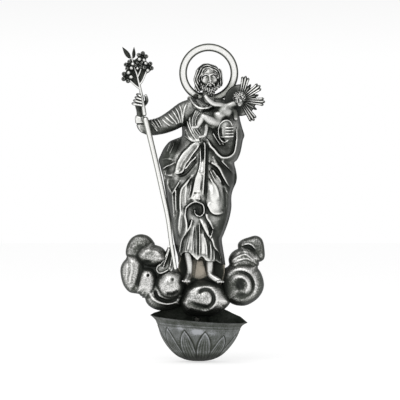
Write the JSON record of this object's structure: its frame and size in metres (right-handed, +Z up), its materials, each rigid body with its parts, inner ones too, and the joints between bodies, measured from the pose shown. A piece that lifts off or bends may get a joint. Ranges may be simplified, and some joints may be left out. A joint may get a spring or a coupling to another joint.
{
  "type": "holy water stoup",
  "caption": "Wall holy water stoup: embossed silver saint with a child and a flowering staff, standing on clouds over a half-round leaf-chased bowl, hung by a swinging ring behind.",
  "frame": {"origin": "on the wall plane, at the middle of the bowl's flat back plate", "axes": "+X to the viewer's right, +Y into the wall, +Z up"},
  "size_m": [0.116, 0.0379, 0.2551],
  "materials": {
    "silver_embossed": "oxidised silver, dark in the hollows and burnished on the ridges",
    "silver_cast": "oxidised cast silver, burnished on the high spots",
    "silver_polished": "polished silver with dark edges",
    "silver_bowl": "matt grey silver, chased leaves",
    "silver_fitting": "tarnished silver, plain"
  },
  "bodies": {
    "stoup": {"back_spine": "silver_fitting", "blossom_1": "silver_polished", "blossom_2": "silver_polished", "blossom_3": "silver_polished", "blossom_4": "silver_polished", "blossom_5": "silver_polished", "bowl": "silver_bowl", "bowl_back_plate": "silver_bowl", "bracket_rivet_left": "silver_fitting", "bracket_rivet_right": "silver_fitting", "child_body": "silver_cast", "child_head": "silver_cast", "child_rays": "silver_polished", "cloud_bracket": "silver_fitting", "cloud_center": "silver_embossed", "cloud_center_nut": "silver_fitting", "cloud_center_stud": "silver_fitting", "cloud_left": "silver_embossed", "cloud_left_nut": "silver_fitting", "cloud_left_stud": "silver_fitting", "cloud_right": "silver_embossed", "cloud_right_nut": "silver_fitting", "cloud_right_stud": "silver_fitting", "collar": "silver_embossed", "figure_lower_nut": "silver_fitting", "figure_lower_stud": "silver_fitting", "figure_upper_nut": "silver_fitting", "figure_upper_stud": "silver_fitting", "foot_rivet_lower": "silver_fitting", "foot_rivet_upper": "silver_fitting", "halo_ring": "silver_polished", "halo_rivet_left": "silver_fitting", "halo_rivet_right": "silver_fitting", "hanging_staple": "silver_fitting", "leaf_1": "silver_polished", "leaf_2": "silver_polished", "left_foot": "silver_cast", "left_hand": "silver_cast", "mantle_lining": "silver_embossed", "mantle_train": "silver_embossed", "right_foot": "silver_cast", "right_hand": "silver_cast", "right_sleeve": "silver_embossed", "robe": "silver_embossed", "saint_head": "silver_cast", "staff_stem": "silver_polished", "staff_tube": "silver_polished"},
    "hanging_ring": {"hanging_ring": "silver_fitting"}
  },
  "joints": [
    {"name": "hanging_ring_swing", "type": "hinge", "parent": "stoup", "child": "hanging_ring", "pos_m": [0.002, -0.0046, 0.181], "axis": [1, 0, 0], "range_deg": [0, 170]}
  ]
}
